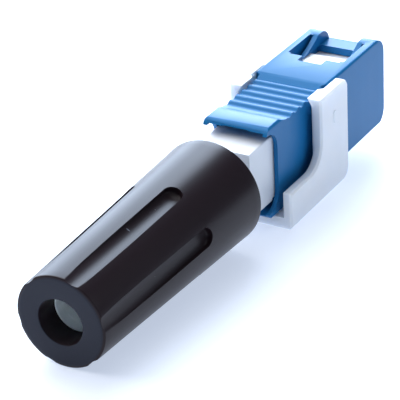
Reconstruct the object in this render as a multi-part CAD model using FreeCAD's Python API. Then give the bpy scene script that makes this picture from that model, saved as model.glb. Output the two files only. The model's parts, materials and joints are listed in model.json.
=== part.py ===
import FreeCAD, Part
import math
import os

# Fibre connector of the SC pattern, fitted on site without polishing.
# A ribbed push-pull housing slides on a plug frame, and a spring-loaded ferrule sits in the plug frame.
# The factory fibre ends in a V-groove splice inside the main body.
# A U-shaped clip under the housing holds the splice open with two wedges until it is pulled off.
# A fluted nut on the tail pushes a collet into the main body's mouth, and the collet grips the cable.
#
# Millimetres. The model is built along the connector's own axis: X = 0 is the housing's front edge,
# the ferrule points to +X, Z = 0 is the axis. At the end everything is moved so that the origin is
# at the middle of the length, on the surface that the clip stands on.

Vector = FreeCAD.Vector
AXIS = Vector(1, 0, 0)
CENTRE = Vector(0, 0, 0)

# How far cutters reach past a surface, how deep fused forms go into each other, and the finest step
PAST = 1.0
JOIN = 0.5
ROOT = 0.2
FINE = 0.01

# Outer housing
HOUSING_WIDTH = 7.4
HOUSING_HEIGHT = 9.0
FRONT_LENGTH = 11.9
GRIP_WIDTH = 6.4
SHOULDER_SLANT = 0.3
NOSE_ROUND = 1.6
EDGE_ROUND = 0.3
HOUSING_TRAVEL = 0.9
CROSSBAR_LENGTH = 2.0
CROSSBAR_THICK = 0.7
WINDOW_LENGTH = 5.3
WINDOW_HALF = 2.1
NOTCH_LENGTH = 1.1
NOTCH_HALF = 1.25
WINDOW_CORNER = 0.3
NOTCH_CORNER = 0.25
SLOT_CORNER = 0.2
RAMP_THICK = 0.5
RAMP_DROP = 1.35
RAMP_SETBACK = 0.3
RAMP_HOLLOW = 0.22
POCKET_LENGTH = 4.55
POCKET_WIDTH = 0.3
POCKET_DEPTH = 2.1
POCKET_SETBACK = 0.5
GRIP_DIP = 0.6
INCLINE_LENGTH = 0.9
RIB_COUNT = 5
RIB_PITCH = 1.19
RIB_DEPTH = 0.24
SCOOP_LENGTH = 1.5
SCOOP_MIDDLE = 0.55
SCOOP_SAG = 0.35
FLARE_START = 0.25
FLARE_END = 0.8
LIP_LENGTH = 2.6
LIP_ROUND = 0.95
LIP_WALL = 0.42
GRIP_WALL = 0.7
SIDE_RECESS = 2.0
SIDE_RECESS_ROUND = 1.7
SIDE_RECESS_LEDGE = 0.2
RELIEF_HALF = 1.3
RELIEF_DEPTH = 0.15
KEY_LENGTH = 7.8
KEY_SETBACK = 1.1
KEY_WIDTH = 2.0
KEY_RAISE = 0.8
RUN_GAP = 0.1

# Plug frame
PLUG_WIDTH = 4.7
PLUG_HEIGHT = 6.4
PLUG_NOSE_HEIGHT = 5.1
PLUG_SETBACK = 0.3
PLUG_LENGTH = 11.4
PLUG_RAMP = 0.8
PLUG_CHAMFER = 0.4
SHOULDER_GAP = 0.2
SLEEVE_SPACE_R = 1.85
SLEEVE_SPACE_DEPTH = 6.1
PLUG_WEB = 1.0
LATCH_NOTCH_LENGTH = 2.0
LATCH_NOTCH_DEPTH = 0.5
LATCH_NOTCH_SLOPE = 0.4
CHAMBER_HALF_WIDTH = 1.85
PLUG_CHAMBER_HALF_HEIGHT = 2.4
WHITE_ROUND = 0.15

# Ferrule, its flange and its spring
FERRULE_R = 1.25
FERRULE_LENGTH = 10.5
FERRULE_REACH = 1.2
FERRULE_CHAMFER = 0.35
FERRULE_CHAMFER_DROP = 0.42
FERRULE_SEAT_R = 1.05
FLANGE_R = 1.78
FLANGE_NOSE_R = 1.45
FLANGE_NOSE_GAP = 0.12
FLANGE_NOSE_SETBACK = 0.05
FLANGE_THICK = 1.0
FLANGE_SLEEVE_R = 1.65
FLANGE_SLEEVE_REACH = 0.3
NECK_R = 0.9
NECK_GAP = 0.06
NECK_SEAT = 1.0
WIRE_R = 0.18
WIRE_FLATS = 6
SPRING_R = 1.45
SPRING_TURNS = 4

# Fibre and splice
FIBRE_R = 0.0625
FIBRE_BORE_R = FIBRE_R
FIBRE_LENGTH = 18.6
SPLICE_LENGTH = 7.9
SPLICE_COLLAR = 1.1
SPLICE_HALF_HEIGHT = 1.5
SPLICE_HALF_WIDTH = 1.25
SPLICE_OPEN = 0.08
SPLICE_SETBACK = 0.1
FRONT_LID_LENGTH = 2.8
LID_GAP = 0.1
WEDGE_MOUTH = 0.35
WEDGE_DEPTH = 0.6
CLAMP_SHEET = 0.25
CLAMP_LEG = 2.6
FRONT_CLAMP_LENGTH = 2.2
REAR_CLAMP_LENGTH = 3.0
CLAMP_SETBACK = 0.3

# Main body
BODY_WIDTH = 5.4
BODY_TOP = 3.1
BODY_BOTTOM = 3.1
COLLAR_BOTTOM = 3.3
COLLAR_LENGTH = 3.9
BODY_REAR = 25.1
SPRING_WELL = 1.5
NECK_WALL = 1.0
BODY_FLOOR = 0.55
BODY_ROOF = 1.0
BODY_REAR_WALL = 1.8
TONGUE_LENGTH = 1.2
TONGUE_THICK = 0.38
TONGUE_HALF = 1.2
TONGUE_GAP = 0.02
THROAT_R = 2.3
STUD_R = 3.3
STUD_START = 27.6
STUD_LENGTH = 9.9
STUD_CHAMFER = 0.3
STUD_TIP_CHAMFER = 0.2
CABLE_WAY_R = 1.6
MOUTH_R = 2.75
MOUTH_LENGTH = 3.5
MOUTH_STEP = 0.65
GUIDE_R = 1.5
GUIDE_LENGTH = 3.8
GUIDE_MOUTH_R = 1.2
GUIDE_TIP_R = 0.3
GUIDE_TIP_LENGTH = 0.8

# Collet that grips the cable
COLLET_R = 2.85
COLLET_LENGTH = 13.85
COLLET_BORE_R = 1.5
COLLET_REAR_BORE_R = 1.85
COLLET_REAR_DEPTH = 4.5
JAW_LENGTH = 7.5
JAW_SLOT = 0.5
TOOTH_COUNT = 3
TOOTH_PITCH = 1.2
TOOTH_DEPTH = 0.2
CONE_GAP = 0.1
CONE_REACH = 0.4
CONE_STEP = 0.3
COLLET_BORE_TAPER = 0.6
SEAT_GAP = 0.05

# Tail nut
NUT_FRONT_R = 4.97
NUT_REAR_R = 4.12
NUT_START = 27.2
NUT_LENGTH = 24.0
NUT_END_WALL = 3.0
CABLE_HOLE_R = 2.06
THREAD_GAP = 0.08
THREAD_CHAMFER = 0.3
NUT_RELIEF = 1.1
COLLET_GAP = 0.1
FLUTE_COUNT = 6
FLUTE_WIDTH = 1.7
FLUTE_START = 7.9
FLUTE_FLOOR = 3.98
FLUTE_TURN = 19.0
NUT_FRONT_CHAMFER = 0.12
NUT_REAR_CHAMFER = 0.24
NUT_REAR_CHAMFER_DEPTH = 0.1

# Assembly clip
CLIP_GAP = 0.08
CLIP_DROP = 0.1
CLIP_FRONT = 9.85
CLIP_LENGTH = 11.65
CLIP_ARM_LENGTH = 5.45
CLIP_ARM_THICK = 0.98
CLIP_TOP = 4.46
CLIP_EDGE_CHAMFER = 0.2
CLIP_BASE = 1.05
CLIP_SHELF = 2.05
CLIP_SWEEP = 2.3
CLIP_WALL = 0.8
CLIP_TOE_ROUND = 1.25
CLIP_TIP_ROUND = 0.7
BARB_LENGTH = 2.45
BARB_REACH = 0.42
BARB_SLANT = 0.4
BARB_HEIGHT = 0.75
PIP_LENGTH = 0.5
PIP_HEIGHT = 1.2
PIP_RAISE = 0.08
PIP_SETBACK = 2.55
PIP_LEVEL = 1.75
PIP_ROUND = 0.2
PRONG_LENGTH = 1.4
PRONG_SETBACK = 6.75
PRONG_SPACING = 3.0
PRONG_COUNT = 2
PRONG_HALF = 0.45
PRONG_GAP = 0.15
PRONG_TAPER = 0.25
WEDGE_TIP = 0.02
WEDGE_GAP = 0.04

# Places along the axis, all behind the housing's front edge
X_SHOULDER = -FRONT_LENGTH
X_RIBS = X_SHOULDER - INCLINE_LENGTH
X_RIBS_END = X_RIBS - RIB_COUNT * RIB_PITCH
X_SCOOP_END = X_RIBS_END - SCOOP_LENGTH
X_LIP = X_SCOOP_END - LIP_LENGTH
X_CROSSBAR = -CROSSBAR_LENGTH
X_WINDOW = X_CROSSBAR - WINDOW_LENGTH
X_PLUG = -PLUG_SETBACK
X_PLUG_REAR = X_PLUG - PLUG_LENGTH
X_WEB = X_PLUG - SLEEVE_SPACE_DEPTH
X_SEAT = X_WEB - FLANGE_NOSE_SETBACK
X_FLANGE = X_WEB - PLUG_WEB
X_FERRULE_TIP = FERRULE_REACH
X_FERRULE_REAR = X_FERRULE_TIP - FERRULE_LENGTH
X_SLEEVE_REAR = X_FERRULE_REAR - FLANGE_SLEEVE_REACH
X_SPRING_SEAT = X_PLUG_REAR - SPRING_WELL
X_CHAMBER = X_SPRING_SEAT - NECK_WALL
X_SPLICE = X_CHAMBER - SPLICE_SETBACK
X_SPLICE_REAR = X_SPLICE - SPLICE_LENGTH
X_BODY_REAR = -BODY_REAR
X_COLLAR = X_BODY_REAR + COLLAR_LENGTH
X_CHAMBER_REAR = X_BODY_REAR + BODY_REAR_WALL
X_STUD = -STUD_START
X_STUD_REAR = X_STUD - STUD_LENGTH
X_NUT = -NUT_START
X_NUT_REAR = X_NUT - NUT_LENGTH
X_END_WALL = X_NUT_REAR + NUT_END_WALL
X_COLLET_REAR = X_END_WALL + SEAT_GAP
X_COLLET = X_COLLET_REAR + COLLET_LENGTH
X_CLIP = -CLIP_FRONT
X_CLIP_REAR = X_CLIP - CLIP_LENGTH
X_ARM_REAR = X_CLIP - CLIP_ARM_LENGTH

# Half sizes and levels that several pieces share
HOUSING_HALF = HOUSING_WIDTH / 2
HOUSING_TOP = HOUSING_HEIGHT / 2
GRIP_HALF = GRIP_WIDTH / 2
PLUG_HALF = PLUG_WIDTH / 2
PLUG_TOP = PLUG_HEIGHT / 2
NOSE_TOP = PLUG_NOSE_HEIGHT / 2
BODY_HALF = BODY_WIDTH / 2
CAVITY_HALF = PLUG_HALF + RUN_GAP
GRIP_CAVITY_HALF = BODY_HALF + RUN_GAP
FRONT_CAVITY_TOP = PLUG_TOP + RUN_GAP
GRIP_VALLEY = HOUSING_TOP - GRIP_DIP
GRIP_CAVITY_TOP = GRIP_VALLEY - GRIP_WALL
MOUTH_TOP = HOUSING_TOP - LIP_WALL
CLIP_INNER = HOUSING_HALF + CLIP_GAP
CLIP_OUTER = CLIP_INNER + CLIP_ARM_THICK
CLIP_FLOOR = -(HOUSING_TOP + CLIP_DROP)
CLIP_FOOT = CLIP_FLOOR - CLIP_BASE
SPLICE_TOP = SPLICE_HALF_HEIGHT + CLAMP_SHEET
NUT_THREAD_R = STUD_R + THREAD_GAP
NUT_INNER_R = COLLET_R + COLLET_GAP

# From the axis system of the model to the one it is kept in
PLACE = Vector(-(X_FERRULE_TIP + X_NUT_REAR) / 2, 0, -CLIP_FOOT)


def block(x0, x1, y0, y1, z0, z1):
    """Plain box between two corners."""
    corner = Vector(min(x0, x1), min(y0, y1), min(z0, z1))
    return Part.makeBox(abs(x1 - x0), abs(y1 - y0), abs(z1 - z0), corner)


def rod(x0, x1, radius):
    """Cylinder along the axis."""
    return Part.makeCylinder(radius, abs(x1 - x0), Vector(min(x0, x1), 0, 0), AXIS)


def turned(profile):
    """Solid of revolution from (x, radius) points."""
    points = [Vector(x, 0, radius) for x, radius in profile]
    face = Part.Face(Part.makePolygon(points + points[:1]))
    return face.revolve(CENTRE, AXIS, 360)


def rounded_outline(half_a, half_b, radius, at):
    """Closed rounded rectangle; at(a, b) turns flat coordinates into a point."""
    slant = radius * (1 - math.sqrt(0.5))
    edges = []
    corners = ((1, 1), (-1, 1), (-1, -1), (1, -1))
    for i, (sa, sb) in enumerate(corners):
        a = sa * half_a
        b = sb * half_b
        side = at(a, b - sb * radius)
        level = at(a - sa * radius, b)
        middle = at(a - sa * slant, b - sb * slant)
        start = side if i % 2 == 0 else level
        end = level if i % 2 == 0 else side
        edges.append(Part.Arc(start, middle, end).toShape())
        na, nb = corners[(i + 1) % 4]
        if i % 2 == 0:
            following = at(na * half_a - na * radius, nb * half_b)
        else:
            following = at(na * half_a, nb * half_b - nb * radius)
        edges.append(Part.LineSegment(end, following).toShape())
    return Part.Wire(Part.__sortEdges__(edges))


def bar_x(x0, x1, half_y, z0, z1, radius):
    """Bar along X with rounded long edges."""
    middle = (z0 + z1) / 2
    rear = min(x0, x1)
    wire = rounded_outline(half_y, abs(z1 - z0) / 2, radius, lambda a, b: Vector(rear, a, middle + b))
    return Part.Face(wire).extrude(Vector(abs(x1 - x0), 0, 0))


def bar_y(x0, x1, z0, z1, half_y, radius):
    """Bar across the connector whose edges along Y are rounded."""
    cx = (x0 + x1) / 2
    cz = (z0 + z1) / 2
    half_x = abs(x1 - x0) / 2
    half_z = abs(z1 - z0) / 2
    wire = rounded_outline(half_x, half_z, radius, lambda a, b: Vector(cx + a, -half_y, cz + b))
    return Part.Face(wire).extrude(Vector(0, 2 * half_y, 0))


def bar_z(x0, x1, half_y, z0, z1, radius):
    """Upright bar whose edges along Z are rounded."""
    cx = (x0 + x1) / 2
    low = min(z0, z1)
    wire = rounded_outline(abs(x1 - x0) / 2, half_y, radius, lambda a, b: Vector(cx + a, b, low))
    return Part.Face(wire).extrude(Vector(0, 0, abs(z1 - z0)))


def side_prism(points, y0, y1):
    """Prism across the connector from (x, z) points."""
    corners = [Vector(x, min(y0, y1), z) for x, z in points]
    face = Part.Face(Part.makePolygon(corners + corners[:1]))
    return face.extrude(Vector(0, abs(y1 - y0), 0))


def end_prism(points, x0, x1):
    """Prism along the axis from (y, z) points."""
    corners = [Vector(min(x0, x1), y, z) for y, z in points]
    face = Part.Face(Part.makePolygon(corners + corners[:1]))
    return face.extrude(Vector(abs(x1 - x0), 0, 0))


def plan_prism(points, z0, z1):
    """Upright prism from (x, y) points."""
    corners = [Vector(x, y, min(z0, z1)) for x, y in points]
    face = Part.Face(Part.makePolygon(corners + corners[:1]))
    return face.extrude(Vector(0, 0, abs(z1 - z0)))


def upside(shape):
    """Mirror image below the axis."""
    return shape.mirror(CENTRE, Vector(0, 0, 1))


def far_side(shape):
    """Mirror image on the other side of the middle plane."""
    return shape.mirror(CENTRE, Vector(0, 1, 0))


def arc(x0, z0, x1, z1, x2, z2):
    """Arc in the side view through three points."""
    return Part.Arc(Vector(x0, 0, z0), Vector(x1, 0, z1), Vector(x2, 0, z2)).toShape()


def line(x0, z0, x1, z1):
    """Straight edge in the side view."""
    return Part.LineSegment(Vector(x0, 0, z0), Vector(x1, 0, z1)).toShape()


def quarter(x, z, radius, sx, sz):
    """Round corner in the side view; (x, z) is the sharp corner, sx and sz point into the material."""
    slant = radius * (1 - math.sqrt(0.5))
    return arc(x + sx * radius, z, x + sx * slant, z + sz * slant, x, z + sz * radius)


def housing_side_view():
    """Closed side view of the housing: nose, flat, incline, ribs, scoop and lip, alike above and below."""
    high = HOUSING_TOP
    crest = GRIP_VALLEY + RIB_DEPTH
    middle = GRIP_VALLEY + RIB_DEPTH / 2
    edges = [quarter(0, high, NOSE_ROUND, -1, -1)]
    edges.append(line(-NOSE_ROUND, high, X_SHOULDER, high))
    x = X_RIBS
    edges.append(line(X_SHOULDER, high, x, middle))
    for _ in range(RIB_COUNT):
        half = x - RIB_PITCH / 2
        edges.append(arc(x, middle, x - RIB_PITCH / 4, crest, half, middle))
        edges.append(arc(half, middle, half - RIB_PITCH / 4, GRIP_VALLEY, half - RIB_PITCH / 2, middle))
        x = half - RIB_PITCH / 2
    sag = (high - middle) * SCOOP_SAG
    edges.append(arc(x, middle, x - SCOOP_LENGTH * SCOOP_MIDDLE, middle + sag, X_SCOOP_END, high))
    edges.append(line(X_SCOOP_END, high, X_LIP + LIP_ROUND, high))
    edges.append(quarter(X_LIP, high, LIP_ROUND, 1, -1))
    lower = [upside(edge) for edge in edges]
    ends = [line(0, high - NOSE_ROUND, 0, -(high - NOSE_ROUND))]
    ends.append(line(X_LIP, high - LIP_ROUND, X_LIP, -(high - LIP_ROUND)))
    return Part.Wire(Part.__sortEdges__(edges + lower + ends))


def housing_cavity():
    """Hollow for the plug frame and the main body, flared at the rear to follow the lip."""
    flare = X_RIBS_END - SCOOP_LENGTH * FLARE_START
    flare_end = X_RIBS_END - SCOOP_LENGTH * FLARE_END
    beyond = X_LIP - PAST
    nose_top = NOSE_TOP + RUN_GAP
    nose = bar_x(X_CROSSBAR - PAST, PAST, CAVITY_HALF, -nose_top, nose_top, WHITE_ROUND)
    front = block(X_SHOULDER, X_CROSSBAR, -CAVITY_HALF, CAVITY_HALF, -FRONT_CAVITY_TOP, FRONT_CAVITY_TOP)
    step = X_PLUG_REAR + HOUSING_TRAVEL + RUN_GAP
    half = [(step, GRIP_CAVITY_TOP), (flare, GRIP_CAVITY_TOP), (flare_end, MOUTH_TOP), (beyond, MOUTH_TOP)]
    outline = half + [(x, -z) for x, z in reversed(half)]
    grip = side_prism(outline, -GRIP_CAVITY_HALF, GRIP_CAVITY_HALF)
    relief_top = MOUTH_TOP + RELIEF_DEPTH
    relief = block(flare_end, beyond, -RELIEF_HALF, RELIEF_HALF, -relief_top, relief_top)
    return nose.fuse([front, grip, relief])


def latch_ramp():
    """What is cut away above a pair of ramps: a hollow curve from the crossbar's top down to the rear."""
    above = HOUSING_TOP + PAST
    front = X_CROSSBAR - RAMP_SETBACK
    low = HOUSING_TOP - RAMP_DROP
    half_way = (front + X_WINDOW) / 2
    edges = [arc(front, HOUSING_TOP, half_way, low + RAMP_DROP * RAMP_HOLLOW, X_WINDOW, low)]
    edges.append(line(X_WINDOW, low, X_WINDOW, above))
    edges.append(line(X_WINDOW, above, front, above))
    edges.append(line(front, above, front, HOUSING_TOP))
    ramp_out = WINDOW_HALF + RAMP_THICK
    cut = Part.Face(Part.Wire(Part.__sortEdges__(edges))).extrude(Vector(0, 2 * ramp_out, 0))
    cut.translate(Vector(0, -ramp_out, 0))
    return cut


def housing_window():
    """What is cut out of the top wall round the latch: window with a notch behind, ramps and pockets."""
    above = HOUSING_TOP + PAST
    opening = bar_z(X_WINDOW, X_CROSSBAR, WINDOW_HALF, NOSE_TOP, above, WINDOW_CORNER)
    bar_top = NOSE_TOP + RUN_GAP + CROSSBAR_THICK
    recess = block(X_CROSSBAR - JOIN, PAST, -WINDOW_HALF, WINDOW_HALF, bar_top, above)
    notch_rear = X_WINDOW - NOTCH_LENGTH
    notch = bar_z(notch_rear, X_WINDOW + PAST, NOTCH_HALF, GRIP_CAVITY_TOP - ROOT, above, NOTCH_CORNER)
    ramp_out = WINDOW_HALF + RAMP_THICK
    pocket_front = X_CROSSBAR - POCKET_SETBACK
    pocket_rear = pocket_front - POCKET_LENGTH
    pocket_floor = HOUSING_TOP - POCKET_DEPTH
    pockets = []
    for side in (-1, 1):
        near = side * ramp_out
        far = side * (ramp_out + POCKET_WIDTH)
        pockets.append(block(pocket_front, pocket_rear, near, far, pocket_floor, above))
    return opening.fuse([recess, notch, latch_ramp()] + pockets)


def outer_housing():
    """Push-pull housing: wide front, narrower ribbed grip, windows above and below, key on the far side."""
    side_view = Part.Face(housing_side_view())
    body = side_view.extrude(Vector(0, HOUSING_WIDTH, 0))
    body.translate(Vector(0, -HOUSING_HALF, 0))
    slant_end = X_SHOULDER - SHOULDER_SLANT
    plan = [(slant_end, -GRIP_HALF), (X_SHOULDER, -HOUSING_HALF), (0, -HOUSING_HALF)]
    plan += [(x, -y) for x, y in reversed(plan)]
    front = bar_x(slant_end, 0, HOUSING_HALF, -HOUSING_TOP, HOUSING_TOP, EDGE_ROUND)
    front = front.common(plan_prism(plan, -HOUSING_TOP, HOUSING_TOP))
    grip = bar_x(X_LIP, X_SHOULDER + JOIN, GRIP_HALF, -HOUSING_TOP, HOUSING_TOP, EDGE_ROUND)
    body = body.common(front.fuse(grip))
    key_end = -(KEY_SETBACK + KEY_LENGTH)
    key_half = KEY_WIDTH / 2
    key = block(-KEY_SETBACK, key_end, HOUSING_HALF - JOIN, HOUSING_HALF + KEY_RAISE, -key_half, key_half)
    body = body.fuse(key)
    recess_half = MOUTH_TOP - SIDE_RECESS_LEDGE
    recess_front = X_LIP + SIDE_RECESS
    recess_rear = X_LIP - 2 * SIDE_RECESS_ROUND
    reach = HOUSING_HALF + PAST
    recess = bar_y(recess_rear, recess_front, -recess_half, recess_half, reach, SIDE_RECESS_ROUND)
    window = housing_window()
    slot_front = prong_front(0) + HOUSING_TRAVEL + PRONG_GAP
    slot_rear = prong_front(PRONG_COUNT - 1) - PRONG_LENGTH - PRONG_GAP
    slot_half = PRONG_HALF + PRONG_GAP
    slot = bar_z(slot_rear, slot_front, slot_half, -HOUSING_TOP - PAST, -BODY_BOTTOM, SLOT_CORNER)
    return body.cut([housing_cavity(), recess, window, upside(window), slot]).removeSplitter()


def plug_frame():
    """Inner frame: nose, latch shoulders, latch notches, space for the adapter's sleeve, spring chamber."""
    shoulder = X_CROSSBAR - HOUSING_TRAVEL - SHOULDER_GAP
    ramp_end = shoulder - PLUG_RAMP
    notch = X_WEB
    notch_end = notch - LATCH_NOTCH_LENGTH
    low = PLUG_TOP - LATCH_NOTCH_DEPTH
    half = [(X_PLUG, NOSE_TOP - PLUG_CHAMFER), (X_PLUG - PLUG_CHAMFER, NOSE_TOP)]
    half += [(shoulder, NOSE_TOP), (ramp_end, PLUG_TOP), (notch, PLUG_TOP), (notch, low)]
    half += [(notch_end, low), (notch_end - LATCH_NOTCH_SLOPE, PLUG_TOP), (X_PLUG_REAR, PLUG_TOP)]
    outline = half + [(x, -z) for x, z in reversed(half)]
    body = side_prism(outline, -PLUG_HALF, PLUG_HALF)
    body = body.common(bar_x(X_PLUG_REAR, X_PLUG, PLUG_HALF, -PLUG_TOP, PLUG_TOP, WHITE_ROUND))
    sleeve_space = rod(X_WEB, X_PLUG + PAST, SLEEVE_SPACE_R)
    bore = rod(X_FLANGE - PAST, X_WEB + PAST, FLANGE_NOSE_R + FLANGE_NOSE_GAP)
    chamber = block(X_PLUG_REAR - PAST, X_FLANGE, -CHAMBER_HALF_WIDTH, CHAMBER_HALF_WIDTH,
                    -PLUG_CHAMBER_HALF_HEIGHT, PLUG_CHAMBER_HALF_HEIGHT)
    return body.cut([sleeve_space, bore, chamber])


def ferrule():
    """Ceramic ferrule with a chamfered tip, a fine bore and a thinner seat that the flange holds."""
    tip = X_FERRULE_TIP
    profile = [(X_FERRULE_REAR, FIBRE_BORE_R), (X_FERRULE_REAR, FERRULE_SEAT_R), (X_SEAT, FERRULE_SEAT_R)]
    profile += [(X_SEAT, FERRULE_R), (tip - FERRULE_CHAMFER, FERRULE_R)]
    profile += [(tip, FERRULE_R - FERRULE_CHAMFER_DROP), (tip, FIBRE_BORE_R)]
    return turned(profile)


def ferrule_flange():
    """Holder of the ferrule's seat: a nose through the web, a disc, the spring's sleeve and a neck."""
    neck_end = X_SPLICE - NECK_SEAT
    seat = X_FLANGE - FLANGE_THICK
    profile = [(X_SEAT, FERRULE_SEAT_R), (X_SEAT, FLANGE_NOSE_R), (X_FLANGE, FLANGE_NOSE_R)]
    profile += [(X_FLANGE, FLANGE_R), (seat, FLANGE_R), (seat, FLANGE_SLEEVE_R)]
    profile += [(X_SLEEVE_REAR, FLANGE_SLEEVE_R), (X_SLEEVE_REAR, NECK_R), (neck_end, NECK_R)]
    profile += [(neck_end, FIBRE_BORE_R), (X_FERRULE_REAR, FIBRE_BORE_R), (X_FERRULE_REAR, FERRULE_SEAT_R)]
    return turned(profile)


def ferrule_spring():
    """Open coil between the flange's sleeve and the spring well's floor."""
    length = X_SLEEVE_REAR - X_SPRING_SEAT - 2 * (WIRE_R + SEAT_GAP)
    start = X_SPRING_SEAT + WIRE_R + SEAT_GAP
    helix = Part.makeHelix(length / SPRING_TURNS, length, SPRING_R)
    corners = []
    for i in range(WIRE_FLATS + 1):
        turn = 2 * math.pi * (i % WIRE_FLATS) / WIRE_FLATS
        corners.append(Vector(SPRING_R + WIRE_R * math.cos(turn), 0, WIRE_R * math.sin(turn)))
    section = Part.makePolygon(corners)
    coil = Part.Wire(helix.Edges).makePipeShell([section], True, True)
    coil.rotate(CENTRE, Vector(0, 1, 0), 90)
    coil.translate(Vector(start, 0, 0))
    return coil


def fibre_stub():
    """Factory fibre, flush with the ferrule's tip and ending in the splice."""
    return rod(X_FERRULE_TIP - FIBRE_LENGTH, X_FERRULE_TIP, FIBRE_R)


def splice_half(side, front, rear, inner):
    """One side of the splice: a bar with its lower inner edge bevelled for the wedges."""
    outer = SPLICE_HALF_WIDTH
    low = -SPLICE_HALF_HEIGHT
    mouth = max(WEDGE_MOUTH, inner)
    points = [(inner, low + WEDGE_DEPTH), (mouth, low), (outer, low), (outer, SPLICE_HALF_HEIGHT)]
    points.append((inner, SPLICE_HALF_HEIGHT))
    return end_prism([(side * y, z) for y, z in points], rear, front)


def splice_base():
    """Block with the fibre groove, and at its front a full collar that holds the flange's neck."""
    collar_rear = X_SPLICE - SPLICE_COLLAR
    wide = SPLICE_HALF_WIDTH
    tall = SPLICE_HALF_HEIGHT
    half = splice_half(1, collar_rear + FINE, X_SPLICE_REAR, 0)
    collar = block(collar_rear, X_SPLICE, -wide, wide, -tall, tall)
    body = half.fuse(collar)
    flank = FIBRE_R * math.sqrt(2)
    section = [(-FINE, -flank - FINE), (flank, 0), (-FINE, flank + FINE)]
    groove = end_prism(section, X_SPLICE_REAR - PAST, collar_rear)
    socket = rod(X_SPLICE - NECK_SEAT - 2 * FINE, X_SPLICE + PAST, NECK_R)
    passage = rod(collar_rear - JOIN, X_SPLICE, FIBRE_BORE_R)
    return body.cut([groove, socket, passage]).removeSplitter()


def splice_lid(front, rear):
    """Lid beside the base, held off it by the wedges."""
    return splice_half(-1, front, rear, SPLICE_OPEN)


def lid_ends(rear_lid):
    """Front and rear of the two lids."""
    front = X_SPLICE - SPLICE_COLLAR - LID_GAP
    middle = front - FRONT_LID_LENGTH
    if rear_lid:
        return middle - LID_GAP, X_SPLICE_REAR
    return front, middle


def splice_clamp(rear_lid):
    """Bent spring strip over the top of the splice that squeezes lid and base together."""
    front, rear = lid_ends(rear_lid)
    length = REAR_CLAMP_LENGTH if rear_lid else FRONT_CLAMP_LENGTH
    start = front - CLAMP_SETBACK
    outer = SPLICE_HALF_WIDTH + CLAMP_SHEET
    low = SPLICE_TOP - CLAMP_LEG
    wide = SPLICE_HALF_WIDTH
    before = start + PAST
    after = start - length - PAST
    strip = bar_x(start - length, start, outer, low - PAST, SPLICE_TOP, CLAMP_SHEET)
    inside = block(after, before, -wide, wide, low - 2 * PAST, SPLICE_HALF_HEIGHT)
    below = block(after, before, -outer - PAST, outer + PAST, low - 2 * PAST, low)
    return strip.cut([inside, below])


def prong_front(index):
    """Front face of a wedge prong."""
    return X_CLIP - PRONG_SETBACK - index * PRONG_SPACING


def main_body():
    """White body: splice chamber in front, deeper collar behind, and a stud with the collet's mouth."""
    front = bar_x(X_COLLAR - JOIN, X_PLUG_REAR, BODY_HALF, -BODY_BOTTOM, BODY_TOP, WHITE_ROUND)
    collar = bar_x(X_BODY_REAR, X_COLLAR, BODY_HALF, -COLLAR_BOTTOM, BODY_TOP, WHITE_ROUND)
    throat = rod(X_STUD - JOIN, X_BODY_REAR, THROAT_R)
    stud = turned([(X_STUD, 0), (X_STUD, STUD_R - STUD_CHAMFER), (X_STUD - STUD_CHAMFER, STUD_R),
                   (X_STUD_REAR + STUD_TIP_CHAMFER, STUD_R), (X_STUD_REAR, STUD_R - STUD_TIP_CHAMFER),
                   (X_STUD_REAR, 0)])
    tongues = []
    tongue_top = PLUG_CHAMBER_HALF_HEIGHT - TONGUE_GAP
    for level in (tongue_top - TONGUE_THICK, -tongue_top):
        tongues.append(block(X_PLUG_REAR - ROOT, X_PLUG_REAR + TONGUE_LENGTH, -TONGUE_HALF, TONGUE_HALF,
                             level, level + TONGUE_THICK))
    body = front.fuse([collar, throat, stud] + tongues)
    floor = -(BODY_BOTTOM - BODY_FLOOR)
    well = rod(X_SPRING_SEAT, X_PLUG_REAR + 2 * PAST, CHAMBER_HALF_WIDTH - SEAT_GAP)
    neck_hole = rod(X_CHAMBER - PAST, X_SPRING_SEAT + PAST, NECK_R + NECK_GAP)
    chamber = block(X_CHAMBER, X_CHAMBER_REAR, -CHAMBER_HALF_WIDTH, CHAMBER_HALF_WIDTH,
                    floor, BODY_TOP - BODY_ROOF)
    guide_seat = rod(X_CHAMBER_REAR - GUIDE_LENGTH, X_CHAMBER_REAR + PAST, GUIDE_R)
    mouth_front = X_STUD_REAR + MOUTH_LENGTH
    narrow = MOUTH_R - MOUTH_STEP
    way_front = X_CHAMBER_REAR - GUIDE_LENGTH + 2 * SEAT_GAP
    way = turned([(way_front, 0), (way_front, CABLE_WAY_R), (mouth_front, CABLE_WAY_R),
                  (mouth_front, narrow), (X_STUD_REAR, MOUTH_R), (X_STUD_REAR - PAST, MOUTH_R),
                  (X_STUD_REAR - PAST, 0)])
    slot_half = PRONG_HALF + PRONG_GAP
    slots = []
    for i in range(PRONG_COUNT):
        start = prong_front(i) + PRONG_GAP
        end = start - PRONG_LENGTH - 2 * PRONG_GAP
        slots.append(block(end, start, -slot_half, slot_half, -COLLAR_BOTTOM - PAST, floor + JOIN))
    return body.cut([well, neck_hole, chamber, guide_seat, way] + slots).removeSplitter()


def fibre_guide():
    """Insert with a funnel that leads the fibre into the splice."""
    front = X_CHAMBER_REAR
    rear = front - GUIDE_LENGTH + SEAT_GAP
    profile = [(front, GUIDE_TIP_R), (front, GUIDE_R), (rear, GUIDE_R), (rear, GUIDE_MOUTH_R)]
    profile += [(front - GUIDE_TIP_LENGTH, GUIDE_TIP_R)]
    return turned(profile)


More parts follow.
